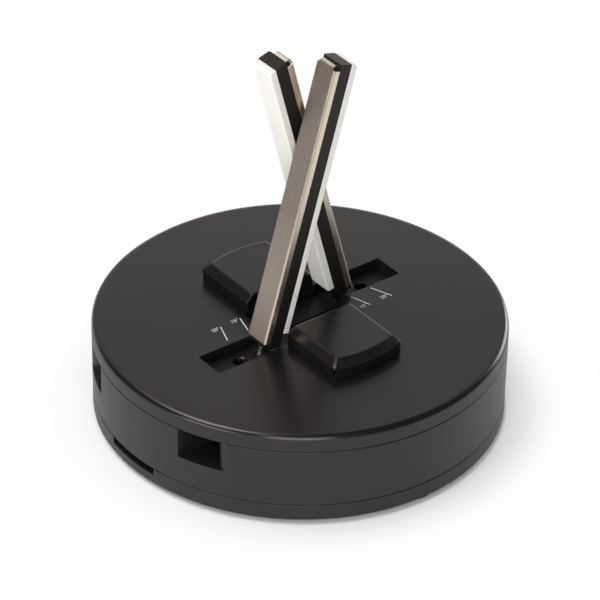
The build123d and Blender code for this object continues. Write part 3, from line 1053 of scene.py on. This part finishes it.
def add_paper(tint):
    """Add the pale floor under the part and a grey backdrop behind it."""
    begin()
    bpy.ops.mesh.primitive_plane_add(size=FLOOR_SIZE)
    floor = bpy.context.object
    floor.name = "studio_floor"
    white_paper("white_paper_floor", tint, FLOOR_LIFT_NEAR, FLOOR_LIFT_FAR)
    paint(floor, "white_paper_floor")

    begin()
    bpy.ops.mesh.primitive_plane_add(size=1)
    backdrop = bpy.context.object
    backdrop.name = "studio_backdrop"
    backdrop.scale = (FLOOR_SIZE, BACKDROP_HEIGHT, 1)
    backdrop.rotation_euler = (-AWAY).to_track_quat("Z", "Y").to_euler()
    backdrop.location = AWAY * BACKDROP_DISTANCE + UP * BACKDROP_HEIGHT / 2
    settle(backdrop)
    grey = shade(tint, BACKDROP_SHADE)[:3]
    white_paper("grey_paper_backdrop", grey, BACKDROP_LIFT, BACKDROP_LIFT)
    paint(backdrop, "grey_paper_backdrop")


def white_paper(name, tint, near_lift, far_lift):
    """Make matt paper that the camera and mirrors see lifted towards white, less so near the part."""
    tree, surface, place = start_material(name)
    fibre = noise(tree, place, 0.0015)
    tone = blend(tree, fibre, shade(tint, 0.985), shade(tint, 1.0))
    connect(tree, surface, Base_Color=tone, Roughness=0.9, Specular_IOR_Level=0.1)

    distance = add_node(tree, "ShaderNodeVectorMath", {0: place}, operation="LENGTH").outputs["Value"]
    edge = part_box("base_plate")[1].x
    lift = spread(tree, distance, near_lift, far_lift, edge, edge + SHADOW_REACH)
    # The gap under the base stays as dark as it is
    clear = spread(tree, distance, 0, 1, edge, edge + GAP_EDGE)
    lift = work_out(tree, "MULTIPLY", lift, clear)
    white = add_node(tree, "ShaderNodeEmission", {"Color": (1, 1, 1, 1), "Strength": 1.0})
    rays = add_node(tree, "ShaderNodeLightPath").outputs
    seen = rays["Is Camera Ray"]
    for kind in ("Is Glossy Ray", "Is Transmission Ray"):
        seen = work_out(tree, "MAXIMUM", seen, rays[kind])
    amount = work_out(tree, "MULTIPLY", seen, lift)
    sockets = {0: amount, 1: surface.outputs["BSDF"], 2: white.outputs["Emission"]}
    mix = add_node(tree, "ShaderNodeMixShader", sockets)
    output = next(node for node in tree.nodes if node.type == "OUTPUT_MATERIAL")
    tree.links.new(mix.outputs["Shader"], output.inputs["Surface"])


def add_light(name, turn, rise, power):
    """Add a square soft light one metre from the part, facing it."""
    begin()
    around = Matrix.Rotation(math.radians(turn), 3, "Z") @ AWAY
    place = around * math.cos(math.radians(rise)) + UP * math.sin(math.radians(rise))
    bpy.ops.object.light_add(type="AREA", location=place)
    light = bpy.context.object
    light.name = name
    light.data.size = LIGHT_SIZE
    light.data.energy = power
    light.rotation_euler = (-place).to_track_quat("-Z", "Y").to_euler()


def light_world(scene):
    """Fill the room with an even dim white."""
    world = bpy.data.worlds.new("studio_room")
    world.use_nodes = True
    background = world.node_tree.nodes["Background"]
    background.inputs["Color"].default_value = (1, 1, 1, 1)
    background.inputs["Strength"].default_value = ROOM_LIGHT
    scene.world = world


def aim_camera(scene):
    """Add the long-lens camera that sees the part from the photo's angle."""
    begin()
    bpy.ops.object.camera_add()
    camera = bpy.context.object
    camera.name = "photo_camera"
    level = VIEW.cross(UP).normalized()
    right = Matrix.Rotation(math.radians(CAMERA_ROLL), 3, VIEW) @ level
    above = right.cross(VIEW)
    turn = Matrix((right, above, -VIEW)).transposed().to_4x4()
    camera.matrix_world = Matrix.Translation(CAMERA_PLACE) @ turn
    camera.data.lens = CAMERA_LENS
    camera.data.sensor_width = CAMERA_SENSOR
    camera.data.clip_end = 20
    scene.camera = camera


class SHARPENER_PT_panel(bpy.types.Panel):
    """The dresser's settings and steps"""

    bl_idname = "SHARPENER_PT_panel"
    bl_label = "Knife sharpener"
    bl_space_type = "VIEW_3D"
    bl_region_type = "UI"
    bl_category = "Sharpener"

    def draw(self, context):
        layout = self.layout
        for group in (context.scene.sharpener_sizes, context.scene.sharpener_colours):
            column = layout.column(align=True)
            for key in group.__annotations__:
                column.prop(group, key)
        for step in STEPS:
            layout.operator(step.bl_idname)


STEPS = (
    SHARPENER_OT_materials,
    SHARPENER_OT_cover,
    SHARPENER_OT_stops,
    SHARPENER_OT_lower_shells,
    SHARPENER_OT_feet,
    SHARPENER_OT_cores,
    SHARPENER_OT_diamond_plates,
    SHARPENER_OT_ceramic_plates,
    SHARPENER_OT_pins,
    SHARPENER_OT_marks,
    SHARPENER_OT_screws,
    SHARPENER_OT_stage,
)
CLASSES = (SharpenerSizes, SharpenerColours, *STEPS, SHARPENER_PT_panel)


def register():
    """Register the add-on's classes and its settings on the scene."""
    for cls in CLASSES:
        bpy.utils.register_class(cls)
    bpy.types.Scene.sharpener_sizes = bpy.props.PointerProperty(type=SharpenerSizes)
    bpy.types.Scene.sharpener_colours = bpy.props.PointerProperty(type=SharpenerColours)


def unregister():
    """Remove what register added."""
    del bpy.types.Scene.sharpener_colours
    del bpy.types.Scene.sharpener_sizes
    for cls in reversed(CLASSES):
        bpy.utils.unregister_class(cls)


def main():
    """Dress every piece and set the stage."""
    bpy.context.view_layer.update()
    register()
    bpy.ops.sharpener.materials()
    bpy.ops.sharpener.cover()
    bpy.ops.sharpener.stops()
    bpy.ops.sharpener.lower_shells()
    bpy.ops.sharpener.feet()
    bpy.ops.sharpener.cores()
    bpy.ops.sharpener.diamond_plates()
    bpy.ops.sharpener.ceramic_plates()
    bpy.ops.sharpener.pins()
    bpy.ops.sharpener.marks()
    bpy.ops.sharpener.screws()
    bpy.ops.sharpener.stage()


if __name__ == "__main__":
    main()
